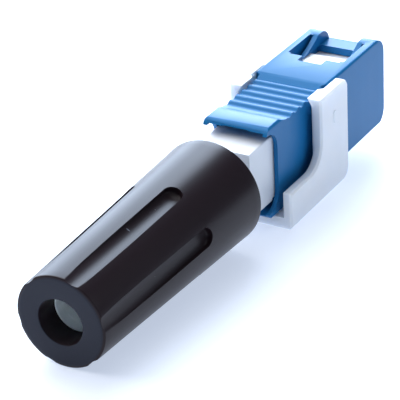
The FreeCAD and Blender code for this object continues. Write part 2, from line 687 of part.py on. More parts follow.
def cable_clamp():
    """Collet: toothed jaws with a cone in front, a plain sleeve behind that the nut pushes on."""
    mouth_front = X_STUD_REAR + MOUTH_LENGTH
    narrow = MOUTH_R - MOUTH_STEP
    slope = MOUTH_STEP / MOUTH_LENGTH
    cone_end = X_STUD_REAR - CONE_REACH
    tip_r = narrow + (mouth_front - X_COLLET) * slope - CONE_GAP
    cone_end_r = narrow + (mouth_front - cone_end) * slope - CONE_GAP
    profile = [(X_COLLET, COLLET_BORE_R), (X_COLLET, tip_r), (cone_end, cone_end_r)]
    profile += [(cone_end - CONE_STEP, COLLET_R), (X_COLLET_REAR, COLLET_R)]
    rear_bore = X_COLLET_REAR + COLLET_REAR_DEPTH
    profile += [(X_COLLET_REAR, COLLET_REAR_BORE_R), (rear_bore, COLLET_REAR_BORE_R)]
    profile += [(rear_bore + COLLET_BORE_TAPER, COLLET_BORE_R)]
    body = turned(profile)
    cuts = []
    deep = COLLET_BORE_R + TOOTH_DEPTH
    for i in range(TOOTH_COUNT):
        x = X_COLLET - (i + 1) * TOOTH_PITCH
        front = x + TOOTH_PITCH / 4
        rear = x - TOOTH_PITCH / 4
        cuts.append(turned([(front, 0), (front, COLLET_BORE_R), (x, deep), (rear, COLLET_BORE_R), (rear, 0)]))
    jaw_end = X_COLLET - JAW_LENGTH
    before = X_COLLET + PAST
    reach = COLLET_R + PAST
    slit = JAW_SLOT / 2
    cuts.append(block(jaw_end, before, -slit, slit, -reach, reach))
    cuts.append(block(jaw_end, before, -reach, reach, -slit, slit))
    return body.cut(cuts)


def nut_radius(x):
    """Outer radius of the tail nut at a place along the axis."""
    share = (X_NUT - x) / NUT_LENGTH
    return NUT_FRONT_R + (NUT_REAR_R - NUT_FRONT_R) * share


def flute(index):
    """Flat-floored groove with a round front end, running out at the nut's rear rim."""
    start = X_NUT - FLUTE_START - FLUTE_WIDTH / 2
    tall = NUT_FRONT_R
    half = FLUTE_WIDTH / 2
    run = block(X_NUT_REAR - PAST, start, -half, half, FLUTE_FLOOR, FLUTE_FLOOR + tall)
    end = Part.makeCylinder(half, tall, Vector(start, 0, FLUTE_FLOOR), Vector(0, 0, 1))
    groove = run.fuse(end).removeSplitter()
    groove.rotate(CENTRE, AXIS, FLUTE_TURN + index * 360 / FLUTE_COUNT)
    return groove


def tail_nut():
    """Tapered nut: threaded bore in front, room for the collet, end wall with the cable hole, six flutes."""
    step = X_STUD_REAR - NUT_RELIEF
    rim = X_NUT_REAR + NUT_REAR_CHAMFER_DEPTH
    front_edge = X_NUT - NUT_FRONT_CHAMFER
    profile = [(X_NUT, NUT_THREAD_R + THREAD_CHAMFER), (X_NUT, nut_radius(X_NUT) - NUT_FRONT_CHAMFER)]
    profile += [(front_edge, nut_radius(front_edge))]
    profile += [(rim, nut_radius(rim)), (X_NUT_REAR, NUT_REAR_R - NUT_REAR_CHAMFER)]
    profile += [(X_NUT_REAR, CABLE_HOLE_R), (X_END_WALL, CABLE_HOLE_R), (X_END_WALL, NUT_INNER_R)]
    profile += [(step, NUT_INNER_R), (step, NUT_THREAD_R), (X_NUT - THREAD_CHAMFER, NUT_THREAD_R)]
    body = turned(profile)
    return body.cut([flute(i) for i in range(FLUTE_COUNT)])


def clip_side_view():
    """Closed side view of the clip: tall arm in front, sweep down to the low shelf behind."""
    low = CLIP_FOOT
    shelf = -CLIP_SHELF
    sweep_top = shelf + CLIP_SWEEP
    sweep_rear = X_ARM_REAR - CLIP_SWEEP
    bulge = CLIP_SWEEP * (1 - math.sqrt(0.5))
    toe = CLIP_TOE_ROUND
    edges = [line(X_ARM_REAR, CLIP_TOP, X_CLIP - CLIP_TIP_ROUND, CLIP_TOP)]
    edges.append(quarter(X_CLIP, CLIP_TOP, CLIP_TIP_ROUND, -1, -1))
    edges.append(line(X_CLIP, CLIP_TOP - CLIP_TIP_ROUND, X_CLIP, low + toe))
    edges.append(quarter(X_CLIP, low, toe, -1, 1))
    edges.append(line(X_CLIP - toe, low, X_CLIP_REAR, low))
    edges.append(line(X_CLIP_REAR, low, X_CLIP_REAR, shelf))
    edges.append(line(X_CLIP_REAR, shelf, sweep_rear, shelf))
    edges.append(arc(sweep_rear, shelf, X_ARM_REAR - bulge, shelf + bulge, X_ARM_REAR, sweep_top))
    edges.append(line(X_ARM_REAR, sweep_top, X_ARM_REAR, CLIP_TOP))
    return Part.Wire(Part.__sortEdges__(edges))


def barb():
    """Nose on the inside of an arm's rear top corner, slanting back to the arm."""
    tip = CLIP_INNER - BARB_REACH
    root = CLIP_INNER + ROOT
    points = [(root, CLIP_TOP), (tip, CLIP_TOP), (CLIP_INNER, CLIP_TOP - BARB_HEIGHT)]
    points.append((root, CLIP_TOP - BARB_HEIGHT))
    front = X_ARM_REAR + BARB_LENGTH
    nose = end_prism(points, X_ARM_REAR, front)
    slanted = [(front, CLIP_INNER), (front - BARB_SLANT, tip), (front, tip)]
    return nose.cut(plan_prism(slanted, 0, CLIP_TOP + PAST))


def prong(index):
    """Upright on the clip's base whose thin top stands between the splice's base and lid."""
    start = prong_front(index)
    mouth = WEDGE_MOUTH - WEDGE_GAP
    low = -SPLICE_HALF_HEIGHT
    tip = low + WEDGE_DEPTH - WEDGE_GAP * 2
    shoulder = low - PRONG_TAPER
    middle = SPLICE_OPEN / 2
    root = CLIP_FLOOR - ROOT
    points = [(-PRONG_HALF, root), (-PRONG_HALF, shoulder), (-mouth, low), (-WEDGE_TIP - middle, tip)]
    points += [(WEDGE_TIP - middle, tip), (mouth, low), (PRONG_HALF, shoulder), (PRONG_HALF, root)]
    return end_prism(points, start - PRONG_LENGTH, start)


def wedge_clip():
    """One moulding: base plate, two arms with barbs, low side walls behind, and two wedge prongs."""
    body = Part.Face(clip_side_view()).extrude(Vector(0, 2 * CLIP_OUTER, 0))
    body.translate(Vector(0, -CLIP_OUTER, 0))
    rims = [edge for edge in body.Edges if edge.BoundBox.YLength < FINE]
    body = body.makeChamfer(CLIP_EDGE_CHAMFER, rims)
    above = CLIP_TOP + PAST
    between_arms = block(X_ARM_REAR, X_CLIP + PAST, -CLIP_INNER, CLIP_INNER, CLIP_FLOOR, above)
    shelf_half = CLIP_OUTER - CLIP_WALL
    between_walls = block(X_CLIP_REAR - PAST, X_ARM_REAR, -shelf_half, shelf_half, CLIP_FLOOR, above)
    body = body.cut([between_arms, between_walls])
    near_barb = barb()
    pip_front = X_CLIP - PIP_SETBACK
    pip = bar_y(pip_front - PIP_LENGTH, pip_front, PIP_LEVEL - PIP_HEIGHT / 2, PIP_LEVEL + PIP_HEIGHT / 2,
                CLIP_OUTER + PIP_RAISE, PIP_ROUND)
    pip_root = CLIP_OUTER - ROOT
    pip = pip.cut(block(X_CLIP_REAR, X_CLIP, -pip_root, pip_root, CLIP_FOOT, above))
    prongs = [prong(i) for i in range(PRONG_COUNT)]
    return body.fuse([near_barb, far_side(near_barb), pip] + prongs).removeSplitter()


def pieces():
    """Every separate piece by its name."""
    front_lid = lid_ends(False)
    rear_lid = lid_ends(True)
    return {
        "outer_housing": outer_housing(),
        "plug_frame": plug_frame(),
        "main_body": main_body(),
        "fibre_guide": fibre_guide(),
        "ferrule": ferrule(),
        "ferrule_flange": ferrule_flange(),
        "ferrule_spring": ferrule_spring(),
        "fibre_stub": fibre_stub(),
        "splice_base": splice_base(),
        "splice_lid_front": splice_lid(*front_lid),
        "splice_lid_rear": splice_lid(*rear_lid),
        "splice_clamp_front": splice_clamp(False),
        "splice_clamp_rear": splice_clamp(True),
        "cable_clamp": cable_clamp(),
        "tail_nut": tail_nut(),
        "wedge_clip": wedge_clip(),
    }


os.makedirs("parts", exist_ok=True)
for name, shape in pieces().items():
    shape.translate(PLACE)
    shape.exportStep("parts/" + name + ".step")
    print(name, len(shape.Solids), round(shape.Volume, 3), shape.isValid())
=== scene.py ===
import json
import math
import bmesh
import bpy
from mathutils import Matrix, Vector

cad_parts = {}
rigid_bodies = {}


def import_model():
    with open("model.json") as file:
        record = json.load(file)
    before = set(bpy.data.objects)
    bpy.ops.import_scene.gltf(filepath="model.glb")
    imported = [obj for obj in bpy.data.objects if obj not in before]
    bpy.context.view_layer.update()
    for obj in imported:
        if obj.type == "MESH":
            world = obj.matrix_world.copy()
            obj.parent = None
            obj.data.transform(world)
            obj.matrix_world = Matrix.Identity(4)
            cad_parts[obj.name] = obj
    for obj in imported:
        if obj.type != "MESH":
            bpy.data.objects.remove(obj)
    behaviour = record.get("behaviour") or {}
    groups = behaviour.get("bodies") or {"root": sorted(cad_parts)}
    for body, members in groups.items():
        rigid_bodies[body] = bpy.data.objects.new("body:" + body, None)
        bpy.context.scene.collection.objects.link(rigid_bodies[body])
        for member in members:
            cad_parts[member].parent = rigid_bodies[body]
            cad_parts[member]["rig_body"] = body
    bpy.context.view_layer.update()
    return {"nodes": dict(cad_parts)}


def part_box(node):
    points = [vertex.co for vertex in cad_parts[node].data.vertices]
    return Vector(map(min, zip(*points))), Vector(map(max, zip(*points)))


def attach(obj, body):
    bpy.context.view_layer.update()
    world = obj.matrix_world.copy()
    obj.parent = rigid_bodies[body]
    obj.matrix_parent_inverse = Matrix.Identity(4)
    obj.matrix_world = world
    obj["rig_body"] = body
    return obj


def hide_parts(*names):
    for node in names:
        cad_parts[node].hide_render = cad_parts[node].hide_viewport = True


# Looks of the fibre connector: smooth-edged pieces, moulded plastics, floor, light and camera.
# Blender's lengths are in metres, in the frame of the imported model. MM turns millimetres into metres.

MM = 0.001
AXIS_LEVEL = 5.65 * MM
WELD = 0.0005 * MM
TOO_SHORT = 0.001 * MM
FLAT = math.radians(0.5)
SHARP = math.radians(32)
EDGE_SEGMENTS = 3

# Materials: stretch of an even texture, the values that noise mostly takes, the texture of moulded
# plastic, and how far red, green and blue light go into it beside each other
EVEN = (1, 1, 1)
NOISE_LOW = 0.3
NOISE_HIGH = 0.7
GRAIN_SCALE = 9000
FLOW_DEPTH = 0.015 * MM
FLOW_STRENGTH = 0.12
LIGHT_REACH = (0.8, 0.9, 1.0)

# Rear lip of the housing: its underside, and the relief that the solid has there
LIP_FRONT_X = 5.2 * MM
LIP_RELIEF_HALF = 1.4 * MM
LIP_UNDERSIDE = 4.08 * MM
LIP_RELIEF = 4.23 * MM
LIP_TOLERANCE = 0.002 * MM

# Tail nut, in millimetres along and round the axis
NUT_FRONT = -2.2
NUT_REAR = -26.2
NUT_FRONT_R = 4.97
NUT_REAR_R = 4.12
NUT_HOLE_R = 2.06
NUT_FACE_R = 3.78
NUT_INNER_R = 2.95
NUT_THREAD_R = 3.38
NUT_THREAD_REAR = -13.6
NUT_THREAD_LEAD = 0.3
NUT_WALL = 3.0
NUT_FRONT_ROUND = 0.22
NUT_HOLE_ROUND = 0.1
NUT_RIM = NUT_REAR + 0.08
NUT_RIM_ROUND = (0.12, 0.004, -0.01, -0.1)
NUT_FACE_EDGE = 0.02
NUT_EDGE = 0.06
NUT_RING_SPACING = 1.0
NUT_LAST_RING = NUT_REAR + 0.5
NUT_STEPS = 288

# Flutes of the nut, in millimetres; the turn is in degrees from straight up
FLUTES = 6
FLUTE_TURN = 19.0
FLUTE_FRONT = -10.95
FLUTE_HALF = 0.85
FLUTE_FLOOR = 3.97
FLUTE_HOLLOW = 2.2
FLUTE_CORNER = 0.12
FLUTE_CORNER_ANGLES = (90, 70, 50, 35, 20, 8, 0)
FLUTE_FLOOR_STEPS = 6
FLUTE_FLOOR_SHARE = 0.8
FLUTE_END_STEPS = 16
FLUTE_SECTIONS = (NUT_REAR - 1, -24, -21, -18, -15, -12.5, FLUTE_FRONT)
CUTTER_TOP = 6.0
CUTTER_WELD = 0.0002 * MM

# Thin lip of the collet and thread of the stud, in millimetres along and round the axis
COLLET_LIP_REAR = NUT_REAR + 2.2
COLLET_LIP_FRONT = NUT_REAR + 3.1
COLLET_LIP_R = 2.02
COLLET_LIP_HOLE_R = 1.86
COLLET_LIP_ROUND = 0.06
COLLET_LIP_HOLE_ROUND = 0.05
COLLET_LIP_SHARP = math.radians(40)
COLLET_LIP_STEPS = 160
THREAD_FRONT = -3.4
THREAD_TURNS = 8
THREAD_STEPS = 64
THREAD_FADE_STEPS = 40
THREAD_ROOT_R = 3.25
THREAD_SECTION = ((-0.36, 3.28), (-0.08, 3.365), (0.08, 3.365), (0.36, 3.28))
THREAD_SHARP = math.radians(50)

# Camera, fitted to the photograph: angles in degrees, place and lens in millimetres, reach in metres
CAMERA_AZIMUTH = 31.4245
CAMERA_ELEVATION = 28.1996
CAMERA_ROLL = -3.1888
CAMERA_PLACE = (-133.42, -78.93, 86.96)
CAMERA_SENSOR = 36.0
CAMERA_LENS = 178.84
CAMERA_REACH = (0.01, 20.0)

# Lights in metres and watts: name, place, size, power, colour
LIGHT_TARGET = (0, 0, 5 * MM)
LIGHTS = (
    ("overhead", (-0.02, 0.04, 0.42), (0.4, 0.5), 0.7, (1, 0.985, 0.975)),
    ("left", (-0.04, 0.33, 0.26), (0.4, 0.36), 1.7, (1, 0.985, 0.975)),
    ("far wall", (0.36, 0.27, 0.22), (0.46, 0.46), 5.4, (0.68, 0.81, 1)),
    ("beside", (0.40, 0.15, 0.32), (0.15, 0.3), 0.55, (0.67, 0.80, 1)),
    ("high", (0.20, 0.14, 0.46), (0.3, 0.3), 1.0, (0.90, 0.95, 1)),
    ("right", (0.10, -0.40, 0.26), (0.4, 0.3), 0.4, (0.85, 0.93, 1)),
)
WORLD_COLOUR = (0.62, 0.79, 1.0, 1)
WORLD_STRENGTH = 0.16
FLOOR_SIZE = 3.0
FLOOR_GLOW = (0.46, 0.52, 0.64, 1)

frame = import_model()
nodes = frame["nodes"]


def link(obj):
    """Put an object in the scene."""
    bpy.context.scene.collection.objects.link(obj)
    return obj


# Materials

def new_material(name):
    """Material with an empty node tree but for the output and one principled shader."""
    material = bpy.data.materials.new(name)
    material.use_nodes = True
    tree = material.node_tree
    tree.nodes.clear()
    output = tree.nodes.new("ShaderNodeOutputMaterial")
    shader = tree.nodes.new("ShaderNodeBsdfPrincipled")
    tree.links.new(shader.outputs["BSDF"], output.inputs["Surface"])
    return material, tree, shader


def object_place(tree, stretch):
    """Place on the object as a texture's vector, scaled along each axis."""
    place = tree.nodes.new("ShaderNodeTexCoord")
    mapping = tree.nodes.new("ShaderNodeMapping")
    mapping.inputs["Scale"].default_value = stretch
    tree.links.new(place.outputs["Object"], mapping.inputs["Vector"])
    return mapping.outputs["Vector"]


def noise(tree, scale, detail=2.0, rough=0.5, stretch=EVEN):
    """Noise in object space, in cycles a metre; a stretch below 1 draws it out into streaks."""
    texture = tree.nodes.new("ShaderNodeTexNoise")
    texture.inputs["Scale"].default_value = scale
    texture.inputs["Detail"].default_value = detail
    texture.inputs["Roughness"].default_value = rough
    tree.links.new(object_place(tree, stretch), texture.inputs["Vector"])
    return texture.outputs["Fac"]


def ramp(tree, value, start, end, low=NOISE_LOW, high=NOISE_HIGH):
    """Value that goes from start to end as the given one goes from low to high."""
    node = tree.nodes.new("ShaderNodeMapRange")
    node.inputs["From Min"].default_value = low
    node.inputs["From Max"].default_value = high
    node.inputs["To Min"].default_value = start
    node.inputs["To Max"].default_value = end
    tree.links.new(value, node.inputs["Value"])
    return node.outputs["Result"]


def spots(tree, scale, radius, stretch=EVEN):
    """Sparse spots of 1 on 0, where a cell's point lies near the surface."""
    cells = tree.nodes.new("ShaderNodeTexVoronoi")
    cells.inputs["Scale"].default_value = scale
    tree.links.new(object_place(tree, stretch), cells.inputs["Vector"])
    return ramp(tree, cells.outputs["Distance"], 1.0, 0.0, radius * 0.6, radius)


def mix_colour(tree, factor, first, second):
    """Blend two colours by a socket's value; each may be a colour or a socket."""
    node = tree.nodes.new("ShaderNodeMix")
    node.data_type = "RGBA"
    tree.links.new(factor, node.inputs["Factor"])
    for socket, colour in ((node.inputs["A"], first), (node.inputs["B"], second)):
        if isinstance(colour, tuple):
            socket.default_value = (*colour, 1)
        else:
            tree.links.new(colour, socket)
    return node.outputs["Result"]


def add_bumps(tree, shader, layers):
    """Chain bump nodes from (height socket, distance in metres, strength)."""
    normal = None
    for height, distance, strength in layers:
        node = tree.nodes.new("ShaderNodeBump")
        node.inputs["Distance"].default_value = distance
        node.inputs["Strength"].default_value = strength
        tree.links.new(height, node.inputs["Height"])
        if normal is not None:
            tree.links.new(normal, node.inputs["Normal"])
        normal = node.outputs["Normal"]
    tree.links.new(normal, shader.inputs["Normal"])


def moulded(name, colour, deep, roughness, subsurface=0.0, specular=0.5, streak=EVEN, depth=0.5):
    """Injection-moulded plastic: a slight drift between two colours, faint flow marks, a fine texture.

    depth says how far light goes into it, in millimetres.
    """
    material, tree, shader = new_material(name)
    drift = ramp(tree, noise(tree, scale=600, detail=3, stretch=streak), 0.0, 1.0, high=0.75)
    tree.links.new(mix_colour(tree, drift, colour, deep), shader.inputs["Base Color"])
    patches = noise(tree, scale=500, stretch=streak)
    gloss = ramp(tree, patches, roughness * 0.94, roughness * 1.06)
    tree.links.new(gloss, shader.inputs["Roughness"])
    if subsurface:
        shader.inputs["Subsurface Weight"].default_value = subsurface
        shader.inputs["Subsurface Radius"].default_value = LIGHT_REACH
        shader.inputs["Subsurface Scale"].default_value = depth * MM
    shader.inputs["Specular IOR Level"].default_value = specular
    flow = noise(tree, scale=150, detail=1, rough=0.4, stretch=streak)
    grain = noise(tree, GRAIN_SCALE, detail=3)
    add_bumps(tree, shader, [(flow, FLOW_DEPTH, FLOW_STRENGTH), (grain, 0.001 * MM, 0.15)])
    return material


def nut_plastic():
    """Black plastic, glossy on its sides and matt on its end face, with a painted bluish reflection on
    the end face, a little dust and a few small pale streaks.
    """
    material, tree, shader = new_material("nut black plastic")
    place = tree.nodes.new("ShaderNodeTexCoord")
    split = tree.nodes.new("ShaderNodeSeparateXYZ")
    tree.links.new(place.outputs["Object"], split.inputs["Vector"])
    rear = NUT_REAR * MM
    end_face = ramp(tree, split.outputs["X"], 1.0, 0.0, low=rear + 0.02 * MM, high=rear + 0.06 * MM)
    dust = spots(tree, scale=480, radius=0.022)
    # Small pale bluish-grey streaks drawn out along the axis.
    pale_streaks = spots(tree, scale=420, radius=0.04, stretch=(1.0, 0.35, 0.35))
    side = mix_colour(tree, noise(tree, scale=90), (0.013, 0.0075, 0.010), (0.016, 0.009, 0.012))
    # Painted reflection: the end face gets a bluer, slightly lighter colour that stands in for the bluish
    # light it reflects; its matt roughness below is real.
    side_and_painted_face = mix_colour(tree, end_face, side, (0.016, 0.018, 0.030))
    dusty = mix_colour(tree, dust, side_and_painted_face, (0.5, 0.55, 0.62))
    streaked = mix_colour(tree, pale_streaks, dusty, (0.16, 0.18, 0.22))
    tree.links.new(streaked, shader.inputs["Base Color"])
    gloss = ramp(tree, noise(tree, scale=120, rough=0.4), 0.30, 0.34)
    rough = tree.nodes.new("ShaderNodeMix")
    tree.links.new(end_face, rough.inputs["Factor"])
    tree.links.new(gloss, rough.inputs["A"])
    rough.inputs["B"].default_value = 0.42
    tree.links.new(rough.outputs["Result"], shader.inputs["Roughness"])
    shader.inputs["Specular IOR Level"].default_value = 0.165
    flow = noise(tree, scale=110, detail=1, rough=0.4, stretch=(0.3, 1, 1))
    grain = noise(tree, GRAIN_SCALE, detail=3)
    add_bumps(tree, shader, [(flow, FLOW_DEPTH, FLOW_STRENGTH), (grain, 0.0008 * MM, 0.2)])
    return material


def metal(name, colour, roughness):
    """Bright drawn or stamped metal with fine lines along it."""
    material, tree, shader = new_material(name)
    shader.inputs["Metallic"].default_value = 1.0
    lines = noise(tree, scale=2500, detail=4, rough=0.6, stretch=(0.08, 1, 1))
    dim = tuple(c * 0.8 for c in colour)
    tree.links.new(mix_colour(tree, lines, colour, dim), shader.inputs["Base Color"])
    gloss = ramp(tree, lines, roughness * 0.7, roughness * 1.3)
    tree.links.new(gloss, shader.inputs["Roughness"])
    add_bumps(tree, shader, [(lines, 0.004 * MM, 0.4)])
    return material


def ceramic():
    """Polished white ceramic."""
    material, tree, shader = new_material("ceramic")
    tint = mix_colour(tree, noise(tree, scale=800, detail=3), (0.86, 0.86, 0.83), (0.8, 0.8, 0.77))
    tree.links.new(tint, shader.inputs["Base Color"])
    gloss = ramp(tree, noise(tree, scale=4000, detail=3), 0.06, 0.12)
    tree.links.new(gloss, shader.inputs["Roughness"])
    shader.inputs["Subsurface Weight"].default_value = 0.2
    shader.inputs["Subsurface Scale"].default_value = 0.4 * MM
    add_bumps(tree, shader, [(noise(tree, scale=6000), 0.002 * MM, 0.2)])
    return material


def fibre_glass():
    """Clear fibre that catches the light."""
    material, tree, shader = new_material("fibre glass")
    tint = mix_colour(tree, noise(tree, scale=900), (0.9, 0.95, 1.0), (0.8, 0.88, 0.95))
    tree.links.new(tint, shader.inputs["Base Color"])
    shader.inputs["Roughness"].default_value = 0.05
    shader.inputs["Transmission Weight"].default_value = 0.8
    shader.inputs["IOR"].default_value = 1.46
    return material


BLUE = moulded("housing blue plastic", (0.010, 0.148, 0.365), (0.009, 0.140, 0.35), 0.32,
               specular=0.16, streak=(1, 1, 0.04))
BODY_WHITE = moulded("body white plastic", (0.75, 0.775, 0.82), (0.73, 0.76, 0.81), 0.34, 0.3)
CLIP_WHITE = moulded("clip white plastic", (0.78, 0.80, 0.84), (0.76, 0.785, 0.83), 0.42, 0.9,
                     depth=1.0)
COLLET = moulded("collet pale plastic", (0.92, 0.96, 0.96), (0.86, 0.92, 0.92), 0.4, 0.3)
SPLICE = moulded("splice plastic", (0.62, 0.58, 0.46), (0.56, 0.52, 0.41), 0.35, 0.1)
BLACK = nut_plastic()
STEEL = metal("stamped steel", (0.6, 0.6, 0.62), 0.28)
CERAMIC = ceramic()
GLASS = fibre_glass()


# Meshes

def shade_smooth(work, limit):
    """Smooth faces, but for the edges that turn by the limit or more."""
    for face in work.faces:
        face.smooth = True
    for edge in work.edges:
        edge.smooth = edge.calc_face_angle(0.0) < limit


def write_mesh(work, mesh, material):
    """Put the worked shape into a mesh of one material."""
    work.to_mesh(mesh)
    work.free()
    mesh.materials.clear()
    mesh.materials.append(material)


def round_edges(obj, width, miter="MITER_SHARP"):
    """Bevel the sharp edges by a width in millimetres."""
    bevel = obj.modifiers.new("edges", "BEVEL")
    bevel.width = width * MM
    bevel.segments = EDGE_SEGMENTS
    bevel.limit_method = "ANGLE"
    bevel.angle_limit = SHARP
    bevel.harden_normals = True
    bevel.miter_outer = miter


def corner(x, r, dx0, dr0, dx1, dr1, steps=5):
    """Points of a rounded corner at (x, r), from (x + dx0, r + dr0) to (x + dx1, r + dr1)."""
    points = []
    for i in range(steps + 1):
        t = i / steps
        a = (1 - t) * (1 - t)
        b = 2 * t * (1 - t)
        c = t * t
        points.append((a * (x + dx0) + b * x + c * (x + dx1),
                       a * (r + dr0) + b * r + c * (r + dr1)))
    return points


def round_axis(x, r, turn):
    """Point in metres at (x, r) millimetres, turned about the axis from straight up."""
    return Vector((x * MM, -math.sin(turn) * r * MM, AXIS_LEVEL + math.cos(turn) * r * MM))


def lathe(profile, steps):
    """Closed mesh of revolution about the connector's axis."""
    work = bmesh.new()
    rings = []
    for i in range(steps):
        turn = 2 * math.pi * i / steps
        rings.append([work.verts.new(round_axis(x, r, turn)) for x, r in profile])
    for i in range(steps):
        this = rings[i]
        following = rings[(i + 1) % steps]
        for j in range(len(profile)):
            k = (j + 1) % len(profile)
            work.faces.new((this[j], this[k], following[k], following[j]))
    bmesh.ops.recalc_face_normals(work, faces=work.faces)
    return work


# Pieces

def level_lip(work):
    """Take the shallow relief out of the lip's underside, above and below."""
    for vert in work.verts:
        height = abs(vert.co.z - AXIS_LEVEL)
        at_relief = abs(height - LIP_RELIEF) < LIP_TOLERANCE
        if vert.co.x < LIP_FRONT_X and at_relief and abs(vert.co.y) < LIP_RELIEF_HALF:
            vert.co.z = AXIS_LEVEL + math.copysign(LIP_UNDERSIDE, vert.co.z - AXIS_LEVEL)


def softened(node, name, material, width, reshape=None):
    """Stand-in for a CAD node: the same solid with its sharp edges rounded off by width."""
    source = nodes[node]
    mesh = source.data.copy()
    mesh.name = name
    work = bmesh.new()
    work.from_mesh(mesh)
    bmesh.ops.remove_doubles(work, verts=work.verts, dist=WELD)
    if reshape is not None:
        reshape(work)
        bmesh.ops.dissolve_degenerate(work, dist=TOO_SHORT, edges=work.edges)
    bmesh.ops.dissolve_limit(work, angle_limit=FLAT, verts=work.verts, edges=work.edges)
    shade_smooth(work, SHARP)
    write_mesh(work, mesh, material)
    obj = link(bpy.data.objects.new(name, mesh))
    round_edges(obj, width, "MITER_ARC")
    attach(obj, source["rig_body"])
    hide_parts(node)
    return obj


def nut_outer(x):
    """Outer radius of the nut at a place along the axis."""
    return NUT_FRONT_R + (NUT_REAR_R - NUT_FRONT_R) * (NUT_FRONT - x) / (NUT_FRONT - NUT_REAR)


def nut_profile():
    """Closed outline of the nut as (x, radius), from the thread's mouth round the outside and back."""
    points = [(NUT_FRONT, NUT_THREAD_R + NUT_THREAD_LEAD)]
    points += corner(NUT_FRONT, NUT_FRONT_R, 0, -NUT_FRONT_ROUND, -NUT_FRONT_ROUND, 0)
    x = NUT_FRONT - NUT_RING_SPACING
    while x > NUT_LAST_RING:
        points.append((x, nut_outer(x)))
        x -= NUT_RING_SPACING
    points += corner(NUT_RIM, NUT_REAR_R, *NUT_RIM_ROUND)
    points += [(NUT_REAR, NUT_FACE_R + NUT_FACE_EDGE), (NUT_REAR, NUT_FACE_R)]
    points += corner(NUT_REAR, NUT_HOLE_R, 0, NUT_HOLE_ROUND, NUT_HOLE_ROUND, 0)
    points += [(NUT_REAR + NUT_RING_SPACING, NUT_HOLE_R)]
    points += [(NUT_REAR + NUT_WALL, NUT_HOLE_R), (NUT_REAR + NUT_WALL, NUT_INNER_R)]
    points += [(NUT_THREAD_REAR, NUT_INNER_R), (NUT_THREAD_REAR, NUT_THREAD_R)]
    points += [(NUT_FRONT - NUT_THREAD_LEAD, NUT_THREAD_R)]
    return points


def flute_level(off):
    """Height of the flute's hollow floor, off its middle line by a distance, with rounded corners."""
    level = FLUTE_FLOOR + FLUTE_HOLLOW - math.sqrt(FLUTE_HOLLOW ** 2 - off ** 2)
    into = off - (FLUTE_HALF - FLUTE_CORNER)
    if into > 0:
        level += FLUTE_CORNER - math.sqrt(max(FLUTE_CORNER ** 2 - into ** 2, 0))
    return level


def flute_cutter(turn):
    """Solid that cuts one flute: hollow floor, upright sides, round front end, open at the rear."""
    offs = [FLUTE_HALF * (i / FLUTE_FLOOR_STEPS) * FLUTE_FLOOR_SHARE for i in range(FLUTE_FLOOR_STEPS)]
    offs += [FLUTE_HALF - FLUTE_CORNER * math.cos(math.radians(a)) for a in FLUTE_CORNER_ANGLES]
    offs = sorted(set(round(o, 5) for o in offs))
    across = [-o for o in reversed(offs[1:])] + offs
    work = bmesh.new()

    def point(x, y, level):
        straight = Vector((x * MM, y * MM, level * MM))
        straight.rotate(Matrix.Rotation(turn, 3, "X"))
        return straight + Vector((0, 0, AXIS_LEVEL))

    def column(x, y, off):
        low = work.verts.new(point(x, y, flute_level(off)))
        return low, work.verts.new(point(x, y, CUTTER_TOP))

    rows = [[column(x, y, abs(y)) for y in across] for x in FLUTE_SECTIONS]
    for first, second in zip(rows, rows[1:]):
        for j in range(len(first) - 1):
            work.faces.new((first[j][0], first[j + 1][0], second[j + 1][0], second[j][0]))
            work.faces.new((first[j][1], second[j][1], second[j + 1][1], first[j + 1][1]))
        for j in (0, len(first) - 1):
            work.faces.new((first[j][0], second[j][0], second[j][1], first[j][1]))
    rear = rows[0]
    for j in range(len(rear) - 1):
        work.faces.new((rear[j][0], rear[j][1], rear[j + 1][1], rear[j + 1][0]))
    fan = []
    for i in range(FLUTE_END_STEPS + 1):
        angle = math.pi * i / FLUTE_END_STEPS - math.pi / 2
        fan.append([column(FLUTE_FRONT + off * math.cos(angle), off * math.sin(angle), off)
                    for off in offs[1:]])
    centre = column(FLUTE_FRONT, 0, 0)
    for first, second in zip(fan, fan[1:]):
        work.faces.new((centre[0], second[0][0], first[0][0]))
        work.faces.new((centre[1], first[0][1], second[0][1]))
        for j in range(len(first) - 1):
            work.faces.new((first[j][0], second[j][0], second[j + 1][0], first[j + 1][0]))
            work.faces.new((first[j][1], first[j + 1][1], second[j + 1][1], second[j][1]))
        work.faces.new((first[-1][0], second[-1][0], second[-1][1], first[-1][1]))
    bmesh.ops.remove_doubles(work, verts=work.verts, dist=CUTTER_WELD)
    bmesh.ops.recalc_face_normals(work, faces=work.faces)
    mesh = bpy.data.meshes.new("cutter")
    work.to_mesh(mesh)
    work.free()
    return mesh


def tail_nut():
    """The nut as one smooth mesh: fine lathe body, six hollow flutes cut in, and softened edges."""
    work = lathe(nut_profile(), NUT_STEPS)
    mesh = bpy.data.meshes.new("nut_shell")
    work.to_mesh(mesh)
    work.free()
    obj = link(bpy.data.objects.new("nut_shell", mesh))
    cutters = []
    for i in range(FLUTES):
        turn = math.radians(FLUTE_TURN + 360 / FLUTES * i)
        cutter = link(bpy.data.objects.new("cutter", flute_cutter(turn)))
        cutters.append(cutter)
        cut = obj.modifiers.new("flute", "BOOLEAN")
        cut.operation = "DIFFERENCE"
        cut.solver = "EXACT"
        cut.object = cutter
    bpy.context.view_layer.update()
    evaluated = obj.evaluated_get(bpy.context.evaluated_depsgraph_get())
    done = bpy.data.meshes.new_from_object(evaluated)
    obj.modifiers.clear()
    for cutter in cutters:
        bpy.data.objects.remove(cutter)
    obj.data = done
    done.name = "nut_shell"
    work = bmesh.new()
    work.from_mesh(done)
    bmesh.ops.remove_doubles(work, verts=work.verts, dist=WELD)
    bmesh.ops.dissolve_degenerate(work, dist=WELD, edges=work.edges)
    shade_smooth(work, SHARP)
    write_mesh(work, done, BLACK)
    round_edges(obj, NUT_EDGE)
    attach(obj, nodes["tail_nut"]["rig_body"])
    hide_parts("tail_nut")


